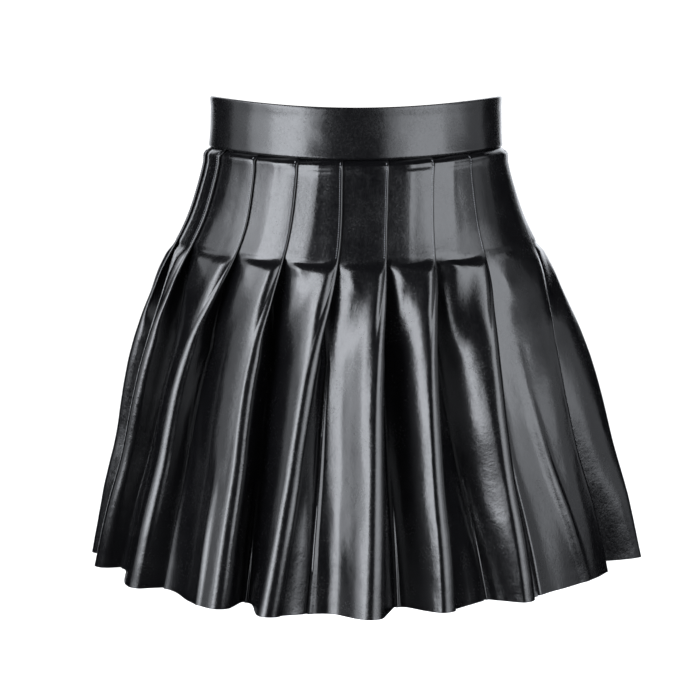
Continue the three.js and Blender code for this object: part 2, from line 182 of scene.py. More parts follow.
def smooth(low, high, x):
    """0 up to low, 1 from high, and a soft step between."""
    t = np.clip((x - low) / (high - low), 0, 1)
    return t * t * (3 - 2 * t)


def bell(x):
    """A soft bump, 1 at 0 and nearly 0 from 2 on."""
    return np.exp(-x * x)


def halves(below):
    """Half width and half depth of the outer form."""
    width = through(OUTLINE_BELOW, OUTLINE_WIDTH, below)
    return width, width - mix(FLATTER_AT_WAIST, FLATTER_AT_HEM, below / LENGTH)


def around(half, angle, out):
    """A point of an ellipse of these half measures, moved out along its normal."""
    width, depth = half
    sine = np.sin(np.radians(angle))
    cosine = np.cos(np.radians(angle))
    across = sine / width
    along = -cosine / depth
    length = np.hypot(across, along)
    x = width * sine + out * across / length
    y = -depth * cosine + out * along / length
    return np.stack([x, y], axis=-1)


def degrees_for(half, angle, length):
    """Degrees that a length along the ellipse takes up at an angle."""
    width, depth = half
    turn = np.radians(angle)
    return np.degrees(length / np.hypot(width * np.cos(turn), depth * np.sin(turn)))


def dip(angle):
    """How far the waist line lies below its level at the sides."""
    cosine = np.cos(np.radians(angle))
    return np.where(cosine > 0, FRONT_DIP, BACK_DIP) * cosine * cosine


def state_at(below):
    """How open the pleats are, from 0 to 1, and what shares of the table's reach and depth they have."""
    share = np.maximum(0, (below - STITCHED) / (LENGTH - STITCHED))
    opening = np.clip((below - STITCHED) / (SPRUNG - STITCHED), 0, 1)
    return opening**OPENING_POWER, share**GROWTH_POWER, mix(DEPTH_AT_FOOT, 1, share)


def folds_at(below):
    """Edges and valleys of all the pleats at each row, and of the pleat before each."""
    _, grown, deep = state_at(below)
    stations = list(STATIONS.values())
    places = zip(*[PLEAT[name] for name in STATIONS])
    edge = np.stack([through(stations, place, below[:, 0]) for place in places], axis=1)
    fold = {
        "edge": edge,
        "out": PLEAT["reach"] * grown - WALL / 2,
        "valley": edge + PLEAT["after"] * grown,
        "valley_out": -PLEAT["depth"] * deep - WALL / 2,
        "swell": PLEAT["swell"] * grown,
        "at": PLEAT["at"] + 0 * grown,
    }
    last = {key: np.roll(value, 1, axis=1) for key, value in fold.items()}
    for key in ("edge", "valley"):
        last[key][:, 0] -= 360
    return last, fold


def folded_pleat(half, last, fold):
    """Guide points of a stitched pleat: under the last fold, up, across the face, and back under itself."""
    turn = LAYER / 2
    top = -WALL / 2
    middle = top - LAYER
    deep = top - 2 * LAYER

    def before(length):
        return last["edge"] - degrees_for(half, last["edge"], length)

    def back(length):
        return fold["edge"] - degrees_for(half, fold["edge"], length)

    return [
        (before(UNDERLAP - turn), deep),
        (before(UNDERLAP / 2), deep),
        (before(0), deep),
        (before(-SURFACING), top - STILL_UNDER),
        (back(UNDERLAP - turn), top - RISING),
        (back(UNDERLAP / 2), top - NEARLY_UP),
        (back(turn), top),
        (back(0), top - turn),
        (back(turn), middle),
        (back(UNDERLAP / 2), middle),
        (back(UNDERLAP - turn), middle - NEARLY_UP),
        (back(UNDERLAP), middle - NEARLY_UP - turn),
    ]


# Guide points of an open pleat's face, as shares of the way across it and up it. Where the pleats are let
# go it swells up from the last valley; at the hem it runs over a nearly flat floor and then climbs.
FACE_AT_FOOT = [(0.09, 0.19), (0.22, 0.38), (0.38, 0.57), (0.58, 0.75), (0.8, 0.9)]
FACE_AT_HEM = [(0.14, 0.02), (0.32, 0.1), (0.5, 0.32), (0.68, 0.6), (0.86, 0.86)]
SWELL_WIDTH = 0.3

# Guide points round a crest and in a valley, as distances across and down, or up, in their radii. The face
# ends before the crest by LEAD of the face's own width, and at most by LEAD_AT_MOST of the crest's radius.
LEAD = 0.15
LEAD_AT_MOST = 0.35
FACE_END_DOWN = 0.06
CREST_GUIDES = [(0.15, 0.01), (0.72, 0.3), (0.98, 0.85)]
VALLEY_OUT_OF = (0.7, 0.6)
VALLEY_INTO = (-0.7, 1)
VALLEY_FLOOR = (0, 0)


def open_pleat(half, last, fold, below):
    """Guide points of an open pleat: a face up from the last valley, a round crest, and a steep back."""
    grown = np.maximum(0, (below - STITCHED) / (LENGTH - STITCHED))
    radius = mix(CREST_AT_FOOT, CREST_AT_HEM, grown)

    def crest(across, down):
        return fold["edge"] + degrees_for(half, fold["edge"], across * radius), fold["out"] - down * radius

    def valley(place, across, up):
        turn = degrees_for(half, place["valley"], across * VALLEY_RADIUS)
        return place["valley"] + turn, place["valley_out"] + up * VALLEY_RADIUS

    face = fold["edge"] - last["valley"]
    radius_in_degrees = np.maximum(degrees_for(half, fold["edge"], radius), TINY)
    face_end = crest(-np.minimum(LEAD_AT_MOST, LEAD * face / radius_in_degrees), FACE_END_DOWN)

    def on_face(at_foot, at_hem):
        across = mix(at_foot[0], at_hem[0], grown)
        up = mix(at_foot[1], at_hem[1], grown)
        swell = fold["swell"] * bell((across - fold["at"]) / SWELL_WIDTH)
        return mix(last["valley"], face_end[0], across), mix(last["valley_out"], face_end[1], up) + swell

    return [
        valley(last, *VALLEY_OUT_OF),
        *[on_face(*guides) for guides in zip(FACE_AT_FOOT, FACE_AT_HEM)],
        face_end,
        *[crest(*guide) for guide in CREST_GUIDES],
        valley(fold, *VALLEY_INTO),
        valley(fold, *VALLEY_FLOOR),
    ]


def stack(points, shape):
    """Guide points as two arrays: angle and distance out, each rows x pleats x points."""
    angle = np.stack([np.broadcast_to(a, shape) for a, _ in points], axis=-1)
    out = np.stack([np.broadcast_to(o, shape) for _, o in points], axis=-1)
    return angle, out


def resample(guides):
    """A smooth closed line through each row's guide points, with tight bends where these are close."""
    following = np.roll(guides, -1, axis=1)
    step = following - guides
    length = np.linalg.norm(step, axis=-1, keepdims=True)
    unit = step / np.maximum(length, TINY)
    before = np.roll(unit, 1, axis=1)
    heading = unit + before
    heading /= np.maximum(np.linalg.norm(heading, axis=-1, keepdims=True), TINY)
    reach = np.minimum(length, np.roll(length, 1, axis=1))
    start = heading * reach
    end = np.roll(start, -1, axis=1)
    spans = []
    for i in range(guides.shape[1]):
        steps = SPAN_STEPS[i % len(SPAN_STEPS)]
        t = (np.arange(steps) / steps)[None, :, None]
        s = 1 - t
        a, b = guides[:, i : i + 1], following[:, i : i + 1]
        place = a * s * s * (1 + 2 * t) + b * t * t * (1 + 2 * s)
        spans.append(place + t * s * (start[:, i : i + 1] * s - end[:, i : i + 1] * t))
    return np.concatenate(spans, axis=1)


def spread(values, following):
    """Values at the guide points, carried on to the resampled points, evenly towards the next ones."""
    parts = []
    for i in range(values.shape[1]):
        steps = SPAN_STEPS[i % len(SPAN_STEPS)]
        t = (np.arange(steps) / steps)[None, :]
        parts.append(mix(values[:, i : i + 1], following[:, i : i + 1], t))
    return np.concatenate(parts, axis=1)


def surface_normals(grid):
    """Outward normals of the closed cloth surface, rows x points."""
    down = np.gradient(grid, axis=0)
    across = np.roll(grid, -1, axis=1) - np.roll(grid, 1, axis=1)
    normal = np.cross(down, across)
    return normal / np.maximum(np.linalg.norm(normal, axis=-1, keepdims=True), TINY)


# Where the pleats are let go, the cloth springs out in a puff right under the stitched panel, and then the
# face bulges. Columns, for each pleat: height of the puff, height of the bulge, and height of the pucker
# right under the waistband. All three fade in and out between shares of the way across the face.
LET_GO_COLUMNS = ("puff", "bulge", "pucker")
LET_GO = [
    (2.0, 1.0, 0.5),
    (2.4, 1.0, 0.6),
    (3.0, 1.4, 0.8),
    (3.2, 1.6, 0.6),
    (3.2, 1.6, 0.9),
    (2.8, 1.6, 0.5),
    (3.4, 1.4, 1.2),
    (3.4, 1.6, 0.8),
    (1.4, 1.0, 0.5),
    (2.4, 1.2, 0.7),
    (3.0, 1.4, 0.9),
    (2.4, 1.2, 0.6),
    (3.2, 1.5, 1.0),
    (2.8, 1.4, 0.7),
    (3.4, 1.6, 0.8),
    (2.6, 1.2, 1.1),
    (3.0, 1.5, 0.6),
    (2.8, 1.2, 0.8),
]
FADES_IN = (0.05, 0.4)
FADES_OUT = (0.86, 1.0)

# The puff starts along an arch, ARCH lower in the middle of the face than at its sides, rises within the
# step and fades over SPRING_LENGTH. The bulge and the pucker lie across the face at their own distances.
ARCH = 1.6
STEP_AT_LEFT = 4
STEP_AT_RIGHT = 13
SPRING_LENGTH = 60
BULGE_AT = 112
BULGE_WIDTH = 22
PUCKER_AT = 4
PUCKER_ARCH = 1.5
PUCKER_WIDTH = 2.8

# Soft creases on the pleats' faces, as straight strokes. Columns: the pleat; where the stroke starts and
# ends, as a share of the way across the face and a distance below the seam; the share of its length at
# which it is strongest; its half width, and its height. A stroke that ends below the hem is still raised
# at it.
CREASE_COLUMNS = ("pleat", "share", "below", "to_share", "to_below", "peak", "width", "height")
CREASES = [
    (2, 0.15, 77, 0.75, 100, 0.3, 3.0, 0.8),
    (3, 0.08, 77, 0.60, 98, 0.2, 2.6, 1.0),
    (4, 0.08, 77, 0.60, 92, 0.2, 2.6, 1.2),
    (5, 0.08, 78, 0.65, 104, 0.3, 3.0, 1.2),
    (6, 0.08, 77, 0.70, 100, 0.3, 3.0, 0.8),
    (7, 0.08, 77, 0.70, 92, 0.3, 2.6, 1.4),
    (8, 0.10, 80, 0.60, 130, 0.4, 5.0, 1.2),
    (3, 0.76, 215, 0.78, 440, 0.4, 3.0, 2.4),
    (5, 0.15, 225, 0.20, 440, 0.4, 2.5, 0.4),
    (5, 0.38, 270, 0.38, 440, 0.4, 3.0, 0.35),
    (7, 0.20, 255, 0.50, 440, 0.4, 3.0, 1.0),
    (8, 0.40, 130, 0.60, 400, 0.5, 4.0, 3.0),
]
CREASES_FADE_IN = (0.0, 0.1)

# Shallow groove of the topstitching, behind the folded edge.
STITCH_FROM_EDGE = 2.8
GROOVE_DEPTH = 0.04
GROOVE_WIDTH = 1.0
GROOVE_ENDS = (STITCHED - 1, STITCHED + 2)

# Over TUCK_HEIGHT, the cloth's top edge tucks in by TUCK and up by TUCKED_UP, under the waistband.
TUCK_HEIGHT = 5
TUCK = 3.4
TUCKED_UP = 1.2

# Soft unevenness of the cloth: size of its waves, scale of distances down the cloth, which is under 1 for
# waves that run down it, seed, and height where the pleats are stitched and where they hang free. The broad
# waves fade in across each face.
BROAD_WAVES = {"size": 22, "down_scale": 0.35, "seed": 3.7, "stitched": 0.35, "free": 0.9}
SMALL_WAVES = {"size": 9, "down_scale": 0.6, "seed": 8.1, "stitched": 0.1, "free": 0.18}
BROAD_WAVES_FADE_IN = (0, 0.2)
HANGS_FREE = (STITCHED - 5, SPRUNG)

# Places one pleat's waves clear of the next pleat's.
PLEATS_APART = 61.0


def uneven(across, below, size, seed):
    """Soft, seeded unevenness from -1 to 1 over lengths of about this size."""
    flat = [
        noise.noise(Vector((x / size, y / size, seed)))
        for x, y in zip(across.ravel(), np.broadcast_to(below, across.shape).ravel())
    ]
    return np.array(flat).reshape(across.shape)


def cloth_waves(across, below, waves):
    """Height of one of the two kinds of soft unevenness."""
    height = mix(waves["stitched"], waves["free"], smooth(*HANGS_FREE, below))
    return uneven(across, below * waves["down_scale"], waves["size"], waves["seed"]) * height


def crease_height(across, below, face, crease):
    """Height of one crease at points of its pleat's face, with across in shares of the face's width."""
    start = np.array([crease["share"] * face, crease["below"]])
    end = np.array([crease["to_share"] * face, crease["to_below"]])
    length = np.linalg.norm(end - start)
    heading = (end - start) / length
    x = across * face - start[0]
    y = below - start[1]
    along = (x * heading[0] + y * heading[1]) / length
    off = x * heading[1] - y * heading[0]
    ends = smooth(0, crease["peak"], along) * (1 - smooth(crease["peak"], 1, along))
    return crease["height"] * ends * bell(off / crease["width"])


def relief(share, below, face):
    """Height of puffs, creases, stitched grooves and unevenness over the plain pleated form."""
    let_go = {name: np.array(column, float) for name, column in zip(LET_GO_COLUMNS, zip(*LET_GO))}
    let_go = {name: np.repeat(column, PLEAT_STEPS)[None, :] for name, column in let_go.items()}
    inner_face = smooth(*FADES_IN, share) * (1 - smooth(*FADES_OUT, share))
    arch = np.sin(np.pi * np.clip(share, 0, 1))
    past_stitching = below - STITCHED - ARCH * arch
    step = mix(STEP_AT_LEFT, STEP_AT_RIGHT, np.clip(share, 0, 1))
    sprung = smooth(0, 1, past_stitching / step) * (1 - smooth(0, SPRING_LENGTH, past_stitching))
    height = let_go["puff"] * inner_face * sprung
    height = height + let_go["bulge"] * inner_face * bell((below - BULGE_AT) / BULGE_WIDTH)
    pucker_at = PUCKER_AT + PUCKER_ARCH * arch
    height = height + let_go["pucker"] * inner_face * bell((below - pucker_at) / PUCKER_WIDTH)
    from_edge = (1 - share) * np.repeat(face, PLEAT_STEPS, axis=1)
    stitched = 1 - smooth(*GROOVE_ENDS, below)
    height = height - GROOVE_DEPTH * stitched * bell((from_edge - STITCH_FROM_EDGE) / GROOVE_WIDTH)
    for row in CREASES:
        crease = dict(zip(CREASE_COLUMNS, row))
        columns = slice(crease["pleat"] * PLEAT_STEPS, (crease["pleat"] + 1) * PLEAT_STEPS)
        middle_row = np.argmin(abs(ROWS - (crease["below"] + crease["to_below"]) / 2))
        width = face[middle_row, crease["pleat"]]
        stroke = crease_height(share[:, columns], below, width, crease)
        height[:, columns] += stroke * smooth(*CREASES_FADE_IN, share[:, columns])
    pleat_start = np.repeat(np.arange(PLEAT_COUNT) * PLEATS_APART, PLEAT_STEPS)[None, :]
    across = pleat_start + share * np.repeat(face, PLEAT_STEPS, axis=1)
    broad = cloth_waves(across, below, BROAD_WAVES) * smooth(*BROAD_WAVES_FADE_IN, share)
    return height + broad + cloth_waves(across, below, SMALL_WAVES)


# Shares of the way across the face at a pleat's guide points: before the face, under the last fold, and
# from its folded edge on, where the cloth turns back. An open pleat's tables of guides, which go on to its
# crest, reach to GUIDES_END, and its face ends at FACE_END.
BEFORE_FACE = [-0.3, -0.15, 0]
TURNED_BACK = [1, 1.04, 1.08, 1.12, 1.16]
GUIDES_END = 0.95
FACE_END = 0.96

# The stretches between guide points that make up a pleat's face, and those that join it as the pleat opens.
FACE_SPANS = slice(2, 7)
OPENED_SPANS = slice(0, 2)


def make_cloth():
    """The whole pleated cloth: its middle surface and that surface's outward normals."""
    below = ROWS[:, None]
    half = halves(below)
    last, fold = folds_at(below)
    opening, _, _ = state_at(below)
    shape = fold["edge"].shape
    folded_angle, folded_out = stack(folded_pleat(half, last, fold), shape)
    opened_angle, opened_out = stack(open_pleat(half, last, fold, below), shape)
    share = opening[:, :, None]
    angle = mix(folded_angle, opened_angle, share).reshape(len(ROWS), -1)
    tucked = 1 - smooth(0, TUCK_HEIGHT, below)
    out = mix(folded_out, opened_out, share).reshape(len(ROWS), -1) - TUCK * tucked
    guides = around(half, angle, out)
    guides[..., 0] += LEAN * smooth(LEAN_FROM, LEAN_TO, below)

    lengths = np.linalg.norm(np.roll(guides, -1, axis=1) - guides, axis=-1)
    lengths = lengths.reshape(len(ROWS), PLEAT_COUNT, -1)
    face = lengths[..., FACE_SPANS].sum(axis=-1) + opening * lengths[..., OPENED_SPANS].sum(axis=-1)
    steps_share = spread_shares(face, share)

    following = np.roll(angle, -1, axis=1)
    following[:, -1] += 360
    height = -BAND_HEIGHT / 2 - GAP - below - dip(spread(angle, following)) + TUCKED_UP * tucked
    grid = np.concatenate([resample(guides), height[..., None]], axis=-1)
    grid = grid + surface_normals(grid) * relief(steps_share, below, face)[..., None]
    return grid, surface_normals(grid)


def spread_shares(face, opening):
    """Share of the way across its pleat's face at each point. It goes on past 1 up to the next pleat."""
    folded = np.stack(
        [
            *[np.full(face.shape, share) for share in BEFORE_FACE],
            SURFACING / face,
            1 - (UNDERLAP - LAYER / 2) / face,
            1 - UNDERLAP / 2 / face,
            1 - LAYER / 2 / face,
            *[np.full(face.shape, share) for share in TURNED_BACK],
        ],
        axis=-1,
    )
    halfway_down = [(foot[0] + hem[0]) / 2 for foot, hem in zip(FACE_AT_FOOT, FACE_AT_HEM)]
    opened = [0, *[GUIDES_END * share for share in halfway_down], FACE_END, *TURNED_BACK]
    share = mix(folded, np.array(opened), opening).reshape(len(face), -1)
    following = np.roll(share, -1, axis=1)
    closes_pleat = slice(len(SPAN_STEPS) - 1, None, len(SPAN_STEPS))
    following[:, closes_pleat] = share[:, closes_pleat]
    return spread(share, following)


# Cut edges, as round the hem, turn by more than this and stay crisp.
CRISP_ANGLE = 60


def new_object(name, vertices, faces, smooth_faces=False, crisp_edges=False, material_index=None):
    """A mesh object from points in millimetres. smooth_faces: which faces shade smoothly, or if all do."""
    mesh = bpy.data.meshes.new(name)
    mesh.from_pydata((np.asarray(vertices) * MM).tolist(), [], faces)
    mesh.polygons.foreach_set("use_smooth", np.broadcast_to(smooth_faces, len(faces)).tolist())
    if crisp_edges:
        mesh.set_sharp_from_angle(angle=math.radians(CRISP_ANGLE))
    if material_index is not None:
        mesh.polygons.foreach_set("material_index", material_index)
    mesh.validate()
    mesh.update()
    obj = bpy.data.objects.new(name, mesh)
    bpy.context.scene.collection.objects.link(obj)
    return obj


def quads(rows, columns):
    """Corner numbers of a grid's quads, which face out when its rows run down and its columns round."""
    i = np.arange(rows - 1)[:, None] * columns + np.arange(columns - 1)[None, :]
    i = i.ravel()
    return np.stack([i, i + columns, i + columns + 1, i + 1], axis=1)


def tube_faces(base, rings, corners, turned=False):
    """Faces of a closed tube through rings of corners, from number base on, or the same inside out."""
    faces = []
    for i in range(rings - 1):
        for corner in range(corners):
            a = base + i * corners + corner
            b = base + i * corners + (corner + 1) % corners
            faces.append([a, a + corners, b + corners, b])
    last = base + (rings - 1) * corners
    faces.append([base + corner for corner in range(corners)])
    faces.append([last + corner for corner in reversed(range(corners))])
    return [face[::-1] for face in faces] if turned else faces


def make_panel(name, cloth, first, count):
    """One pleated panel as a closed shell: leather outside, knit backing inside, and a rim all round."""
    grid, normal = cloth
    start = first * PLEAT_STEPS - LAST_SPAN
    columns = np.arange(start, start + count * PLEAT_STEPS + 1) % grid.shape[1]
    middle = grid[:, columns].copy()
    normals = normal[:, columns]
    for end, inward in ((0, 1), (-1, -2)):
        heading = middle[:, inward] - middle[:, end]
        heading /= np.linalg.norm(heading, axis=-1, keepdims=True)
        middle[:, end] += heading * GAP / 2
    rows, width = middle.shape[:2]
    outer = middle + normals * CLOTH / 2
    inner = middle - normals * CLOTH / 2
    vertices = np.concatenate([outer.reshape(-1, 3), inner.reshape(-1, 3)])
    outside = quads(rows, width)
    behind = rows * width
    inside = outside[:, ::-1] + behind
    top = np.arange(width)
    hem = top + (rows - 1) * width
    left = np.arange(rows) * width
    right = left + width - 1
    rims = []
    for edge, flip in ((top, False), (hem, True), (left, True), (right, False)):
        a, b = edge[:-1], edge[1:]
        rim = np.stack([a, b, b + behind, a + behind], axis=1)
        rims.append(rim[:, ::-1] if flip else rim)
    rims = np.concatenate(rims)
    faces = np.concatenate([outside, inside, rims]).tolist()
    smooth_faces = np.arange(len(faces)) < 2 * len(outside)
    backing = np.zeros(len(faces), int)
    backing[len(outside) : 2 * len(outside)] = 1
    return new_object(name, vertices, faces, smooth_faces, True, backing)


# The waistband's section. Columns: distance out from its outer face, height from its middle. It has a soft
# outer face that rolls over fuller edges, and a plain inside.
BAND_SECTION = [
    (0.15, 12), (0.05, 5), (0.0, -2), (0.05, -8), (0.2, -13), (0.45, -16.2), (0.6, -18), (0.35, -19.4),
    (-0.4, -20.1), (-1.2, -20.2), (-2.0, -19.9), (-2.35, -19.2), (-2.4, -17), (-2.4, -8), (-2.4, 0),
    (-2.4, 8), (-2.4, 17), (-2.35, 19.2), (-2.0, 19.9), (-1.2, 20.1), (-0.2, 20.1), (0.65, 19.6),
    (0.85, 18.6), (0.6, 16),
]
BAND_STEP = 2.2
BAND_RADIUS = 105

# Its soft unevenness, which fades out towards the inside between two distances out. Columns: size of the
# waves, scale of distances up the band, seed, height.
BAND_WAVES_FADE = (-1.6, -0.4)
BAND_WAVES = [
    (34, 1.3, 5.3, 0.55),
    (13, 1.0, 9.4, 0.15),
]


def band_halves(up):
    """Half width and half depth of the waistband's outer face, a little wider lower down."""
    wider = BAND_SPREAD * (0.5 - up / BAND_HEIGHT)
    return BAND_HALF_WIDTH + wider, BAND_HALF_DEPTH + wider


def band_point(angle, out, up):
    """Points this far out from the waistband's outer face and this high, on its dipping line."""
    plan = around(band_halves(up), angle, out)
    return np.concatenate([plan, (up - dip(angle))[..., None]], axis=-1)


def make_band(name, start, end):
    """One waistband piece, swept from side seam to side seam. Its section gets a point in each step."""
    inset = float(degrees_for(band_halves(0), SIDE_SEAM, GAP / 2))
    length = math.radians(end - start) * (BAND_HALF_WIDTH + BAND_HALF_DEPTH) / 2
    count = round(length / BAND_STEP)
    angle = np.linspace(start + inset, end - inset, count)[:, None]
    section = np.array(BAND_SECTION, float)
    before = np.roll(section, 1, axis=0)
    following = np.roll(section, -1, axis=0)
    beyond = np.roll(section, -2, axis=0)
    between = (section + following) / 2 + (section - before + beyond - following) / 16
    section = np.stack([section, between], axis=1).reshape(-1, 2)
    out = np.broadcast_to(section[:, 0], (count, len(section)))
    up = np.broadcast_to(section[:, 1], out.shape)
    angle = np.broadcast_to(angle, out.shape)
    across = np.radians(angle) * BAND_RADIUS
    waves = sum(uneven(across, up * scale, size, seed) * height for size, scale, seed, height in BAND_WAVES)
    grid = band_point(angle, out + waves * smooth(*BAND_WAVES_FADE, out), up)
    faces = tube_faces(0, count, len(section))
    smooth_faces = np.arange(len(faces)) < len(faces) - 2
    return new_object(name, grid.reshape(-1, 3), faces, smooth_faces)


# Topstitching: one row of stitches down each stitched fold, in the stretch of guide points before its edge.
STITCH_PITCH = 1.7
STITCH_LENGTH = 1.2
STITCH_FROM = 3
THREAD_RADIUS = 0.3
THREAD_SIDES = 6
EDGE_SPAN = 5
EDGE_SPAN_FROM = UNDERLAP / 2
EDGE_SPAN_TO = LAYER / 2
LOOK_AHEAD = 0.5

# Rings of one stitch, which dips into the cloth at both ends. Columns: share of its length, lift of its
# middle over the cloth, share of its thickness.
STITCH_RINGS = [(0, -0.25, 0.6), (0.25, 0.08, 1), (0.75, 0.08, 1), (1, -0.25, 0.6)]


def on_cloth(cloth, column, below):
    """The outer face of the cloth and its normal at a place between rows and points."""
    row = np.interp(below, ROWS, np.arange(len(ROWS)))
    r = min(int(row), len(ROWS) - 2)
    c = int(column)
    found = []
    for field in cloth:
        upper = mix(field[r, c], field[r, c + 1], column - c)
        lower = mix(field[r + 1, c], field[r + 1, c + 1], column - c)
        found.append(mix(upper, lower, row - r))
    place, out = found
    out = out / np.linalg.norm(out)
    return place + out * CLOTH / 2, out


def make_topstitch(name, cloth, first, count):
    """Short raised threads that dip into the cloth at both ends."""
    share = (EDGE_SPAN_FROM - STITCH_FROM_EDGE) / (EDGE_SPAN_FROM - EDGE_SPAN_TO)
    in_pleat = sum(SPAN_STEPS[:EDGE_SPAN]) + share * SPAN_STEPS[EDGE_SPAN]
    turns = np.arange(THREAD_SIDES) * 2 * np.pi / THREAD_SIDES
    vertices = []
    faces = []
    for pleat in range(first, first + count):
        column = pleat * PLEAT_STEPS + in_pleat
        for begin in np.arange(STITCH_FROM, STITCHED - STITCH_LENGTH, STITCH_PITCH):
            faces.extend(tube_faces(len(vertices), len(STITCH_RINGS), THREAD_SIDES))
            for along, lift, size in STITCH_RINGS:
                below = begin + along * STITCH_LENGTH
                place, out = on_cloth(cloth, column, below)
                ahead, _ = on_cloth(cloth, column, below + LOOK_AHEAD)
                heading = (ahead - place) / np.linalg.norm(ahead - place)
                side = np.cross(heading, out)
                radius = THREAD_RADIUS * size
                for turn in turns:
                    offset = radius * (math.cos(turn) * out + math.sin(turn) * side)
                    vertices.append(place + out * lift + offset)
    return new_object(name, vertices, faces, True)


# Zip teeth between the two tapes, in turn from either side: below the slider, and below the waist seam.
TAPE_THICKNESS = 1
ROOM_BEHIND_PLEATS = 1.5
TOOTH_PITCH = 1.3
TOOTH_HEIGHT = 0.8
TOOTH_DEPTH = 1.2
TEETH_BELOW_SEAM = (-92, -24)
TEETH_ON_BAND = (-17, 5)

# One tooth's section, in half depths and half heights, and its rings. Columns of these: place across the
# zip, share of the tooth's size.
TOOTH_SECTION = [(-1, -0.5), (-0.5, -1), (0.5, -1), (1, -0.5), (1, 0.5), (0.5, 1), (-0.5, 1), (-1, 0.5)]
TOOTH_RINGS = [(-0.9, 0.75), (0.2, 1.0), (0.6, 0.7)]


def zip_line(up):
    """A point of the zip's middle behind the band and the pleats, and its outward direction."""
    angle = np.array(float(SIDE_SEAM))
    below = -BAND_HEIGHT / 2 - up
    on_band = below <= 0
    half = band_halves(up) if on_band else halves(np.array(below))
    cover = BAND_THICKNESS if on_band else 2 * WALL_LAYER + WALL + ROOM_BEHIND_PLEATS
    inner = around(half, angle, -cover - GAP - TAPE_THICKNESS)
    outer = around(half, angle, -cover - GAP)
    outward = (outer - inner) / np.linalg.norm(outer - inner)
    middle = (inner + outer) / 2
    return np.array([middle[0], middle[1], up - float(dip(angle))]), np.array([outward[0], outward[1], 0])


def make_zip_teeth():
    """Rounded teeth that close the slit between the tapes."""
    vertices = []
    faces = []
    heights = [*np.arange(*TEETH_BELOW_SEAM, TOOTH_PITCH), *np.arange(*TEETH_ON_BAND, TOOTH_PITCH)]
    for number, up in enumerate(heights):
        middle, outward = zip_line(up)
        from_right = number % 2 == 1
        across = np.array([outward[1], -outward[0], 0]) * (1 if from_right else -1)
        faces.extend(tube_faces(len(vertices), len(TOOTH_RINGS), len(TOOTH_SECTION), from_right))
        for reach, size in TOOTH_RINGS:
            for x, y in TOOTH_SECTION:
                offset = outward * x * TOOTH_DEPTH / 2 * size
                rise = np.array([0, 0, y * TOOTH_HEIGHT / 2 * size])
                vertices.append(middle + across * reach + offset + rise)
    return new_object("zip_teeth", vertices, faces)


def linear(hex_colour):
    """An sRGB hex colour as linear RGBA."""
    channels = [int(hex_colour[i : i + 2], 16) / 255 for i in (1, 3, 5)]
    return [c / 12.92 if c <= 0.04045 else ((c + 0.055) / 1.055) ** 2.4 for c in channels] + [1.0]


def add_node(tree, kind, settings=(), links=()):
    """Adds a node. settings: (property or input, value). links: (input, node, its output)."""
    node = tree.nodes.new(kind)
    for name, value in dict(settings).items():
        if isinstance(name, int) or name in node.inputs:
            node.inputs[name].default_value = value
        else:
            setattr(node, name, value)
    for name, source, output in links:
        tree.links.new(source.outputs[output], node.inputs[name])
    return node


def new_material(name):
    """A material, its empty tree, and object coordinates in millimetres for its textures."""
    material = bpy.data.materials.new(name)
    material.use_nodes = True
    tree = material.node_tree
    tree.nodes.clear()
    metres = add_node(tree, "ShaderNodeTexCoord")
    scaling = {"operation": "SCALE", "Scale": 1 / MM}
    return material, tree, add_node(tree, "ShaderNodeVectorMath", scaling, [(0, metres, "Object")])


def coated_knit_leather(name, dark, light, rough_low, rough_high, grain):
    """Polyurethane film on a knit, embossed and glossy: broad grey highlights with grain, on near black."""
    material, tree, place = new_material(name)
    cloudy = add_node(
        tree,
        "ShaderNodeTexNoise",
        {"Scale": 1 / 22, "Detail": 3.0, "Roughness": 0.55},
        [("Vector", place, 0)],
    )
    # The embossed grain is really 0.3 to 0.5 mm; it is drawn at 1.7 mm, as coarse as the picture can show.
    emboss = add_node(
        tree,
        "ShaderNodeTexNoise",
        {"Scale": 1 / 1.7, "Detail": 2.0, "Roughness": 0.6},
        [("Vector", place, 0)],
    )
    pores = add_node(
        tree, "ShaderNodeTexVoronoi", {"Scale": 1 / 1.6, "Randomness": 1.0}, [("Vector", place, 0)]
    )
    ripples = add_node(tree, "ShaderNodeTexNoise", {"Scale": 1 / 6, "Detail": 1.0}, [("Vector", place, 0)])
    colour = add_node(
        tree,
        "ShaderNodeMix",
        {"data_type": "RGBA", 6: linear(dark), 7: linear(light)},
        [(0, cloudy, "Fac")],
    )
    patches = add_node(
        tree,
        "ShaderNodeMapRange",
        {"From Min": 0.3, "From Max": 0.7, "To Min": rough_low, "To Max": rough_high},
        [("Value", cloudy, "Fac")],
    )
    sparkle = add_node(
        tree,
        "ShaderNodeMapRange",
        {"From Min": 0.3, "From Max": 0.7, "To Min": -0.05, "To Max": 0.05},
        [("Value", emboss, "Fac")],
    )
    roughness = add_node(tree, "ShaderNodeMath", {"operation": "ADD"}, [(0, patches, 0), (1, sparkle, 0)])
    peel = add_node(
        tree,
        "ShaderNodeMath",
        {"operation": "MULTIPLY_ADD", 1: 1.6},
        [(0, ripples, "Fac"), (2, emboss, "Fac")],
    )
    height = add_node(
        tree,
        "ShaderNodeMath",
        {"operation": "MULTIPLY_ADD", 1: 0.25},
        [(0, pores, "Distance"), (2, peel, 0)],
    )
    bump = add_node(
        tree, "ShaderNodeBump", {"Strength": 1.0, "Distance": grain * MM}, [("Height", height, 0)]
    )
    shader = add_node(
        tree,
        "ShaderNodeBsdfPrincipled",
        {"IOR": 1.5, "Specular IOR Level": 0.5},
        [("Base Color", colour, 2), ("Roughness", roughness, 0), ("Normal", bump, 0)],
    )
    add_node(tree, "ShaderNodeOutputMaterial", {}, [("Surface", shader, 0)])
    return material


